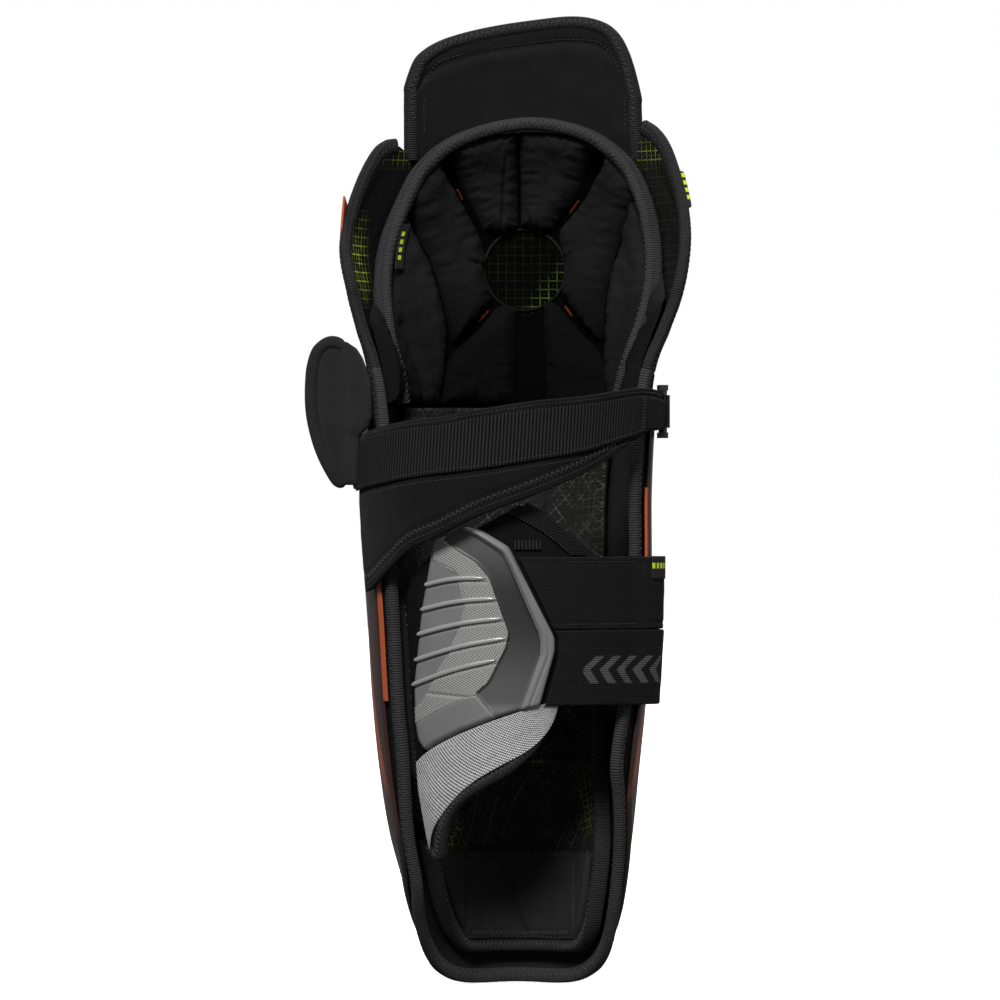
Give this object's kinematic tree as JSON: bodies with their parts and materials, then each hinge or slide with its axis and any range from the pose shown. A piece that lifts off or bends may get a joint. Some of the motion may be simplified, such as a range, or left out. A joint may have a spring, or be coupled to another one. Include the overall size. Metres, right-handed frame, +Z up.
{
  "type": "ice hockey shin guard",
  "caption": "Curved leg protector with hard shin and knee caps over a padded liner, a hinged thigh pad and calf flap, a pull tab, and wrap straps that close behind the calf.",
  "frame": {"origin": "on the leg's axis, level with the lower edge of the shin", "axes": "+Z up the leg, +Y to the front of the shin where the hard caps are, +X to the right when seen from behind, so the open calf side faces -Y"},
  "size_m": [0.2046, 0.1729, 0.5179],
  "materials": {
    "carrier_foam": "matte laminated foam",
    "wing_fabric": "matte fabric over foam",
    "binding_tape": "matte woven tape",
    "cap_plastic": "glossy moulded plastic",
    "rivet_steel": "brushed",
    "trim_orange": "glossy",
    "foam_orange": "matte foam",
    "liner_mesh": "mesh",
    "liner_pocket": "smooth",
    "knee_pad_fabric": "twill",
    "knee_side_fabric": "brushed knit",
    "loop_pile": "pile",
    "webbing_tape": "ribbed weave",
    "loop_plastic": "satin",
    "tag_fabric": "woven",
    "thigh_neoprene": "neoprene jersey",
    "wing_neoprene": "neoprene jersey",
    "hook_plastic": "fine hooks",
    "tab_fabric": "twill",
    "flap_twill": "twill",
    "grey_mesh": "knitted",
    "grey_plate": "semi gloss, textured",
    "grey_frame": "semi gloss",
    "strap_fabric": "fine rib",
    "strap_elastic": "fine rib elastic",
    "tag_lime": "woven"
  },
  "bodies": {
    "shell": {"shin_carrier": "carrier_foam", "knee_carrier": "carrier_foam", "knee_wing_left": "wing_fabric", "knee_wing_right": "wing_fabric", "shin_binding": "binding_tape", "knee_binding_left": "binding_tape", "knee_binding_right": "binding_tape", "shin_cap": "cap_plastic", "knee_cap": "cap_plastic", "shin_cap_rivets": "rivet_steel", "knee_cap_rivets": "rivet_steel", "side_trims": "trim_orange", "wing_trims": "trim_orange", "shin_foam": "foam_orange", "knee_foam": "foam_orange", "shin_liner": "liner_mesh", "liner_pocket": "liner_pocket", "liner_binding": "binding_tape", "knee_mesh": "liner_mesh", "knee_pad_top": "knee_pad_fabric", "knee_pad_left": "knee_pad_fabric", "knee_pad_right": "knee_pad_fabric", "knee_pad_bottom": "knee_pad_fabric", "knee_side_pad_left": "knee_side_fabric", "knee_side_pad_right": "knee_side_fabric", "knee_rim_binding": "binding_tape", "left_loop_patch": "loop_pile", "right_loop_patch": "loop_pile", "strap_anchor": "webbing_tape", "strap_loop": "loop_plastic", "size_tag": "tag_fabric", "wing_tag": "tag_fabric"},
    "thigh_guard": {"thigh_pad": "thigh_neoprene", "thigh_binding": "binding_tape"},
    "upper_strap": {"calf_wing": "wing_neoprene", "webbing": "webbing_tape", "webbing_eye": "webbing_tape", "upper_hook_patch": "hook_plastic"},
    "pull_tab": {"tab_pad": "tab_fabric", "tab_border": "binding_tape"},
    "calf_flap": {"flap_pad": "flap_twill", "flap_mesh": "grey_mesh", "calf_plate": "grey_plate", "plate_frame": "grey_frame", "plate_ribs": "grey_frame", "flap_binding": "binding_tape", "strap_base": "strap_fabric"},
    "lower_wide_strap": {"wide_strap": "strap_fabric", "wide_hook_patch": "hook_plastic", "adjust_tag": "tag_lime"},
    "lower_elastic_strap": {"elastic_strap": "strap_elastic", "elastic_hook_patch": "hook_plastic"}
  },
  "joints": [
    {"name": "thigh_guard_flex", "type": "hinge", "parent": "shell", "child": "thigh_guard", "pos_m": [0, 0.064, 0.447], "axis": [1, 0, 0], "range_deg": [-55, 10], "stiffness_Nm_per_rad": 0.15},
    {"name": "upper_strap_swing", "type": "hinge", "parent": "shell", "child": "upper_strap", "pos_m": [0.07825, -0.01105, 0.302], "axis": [0, 0, 1], "range_deg": [0, 110]},
    {"name": "pull_tab_flex", "type": "hinge", "parent": "upper_strap", "child": "pull_tab", "pos_m": [-0.0862, -0.01215, 0.3], "axis": [0, 0, 1], "range_deg": [-60, 50], "stiffness_Nm_per_rad": 0.01},
    {"name": "calf_flap_swing", "type": "hinge", "parent": "shell", "child": "calf_flap", "pos_m": [-0.05617, -0.03426, 0.1405], "axis": [-0.0893, -0.0481, 0.9948], "range_deg": [-90, 0]},
    {"name": "wide_strap_swing", "type": "hinge", "parent": "calf_flap", "child": "lower_wide_strap", "pos_m": [0.02284, -0.06296, 0.2068], "axis": [-0.011, -0.0526, 0.9986], "range_deg": [-95, 0]},
    {"name": "elastic_strap_swing", "type": "hinge", "parent": "calf_flap", "child": "lower_elastic_strap", "pos_m": [0.02255, -0.06054, 0.1675], "axis": [0.0254, -0.0699, 0.9972], "range_deg": [-95, 0]}
  ]
}
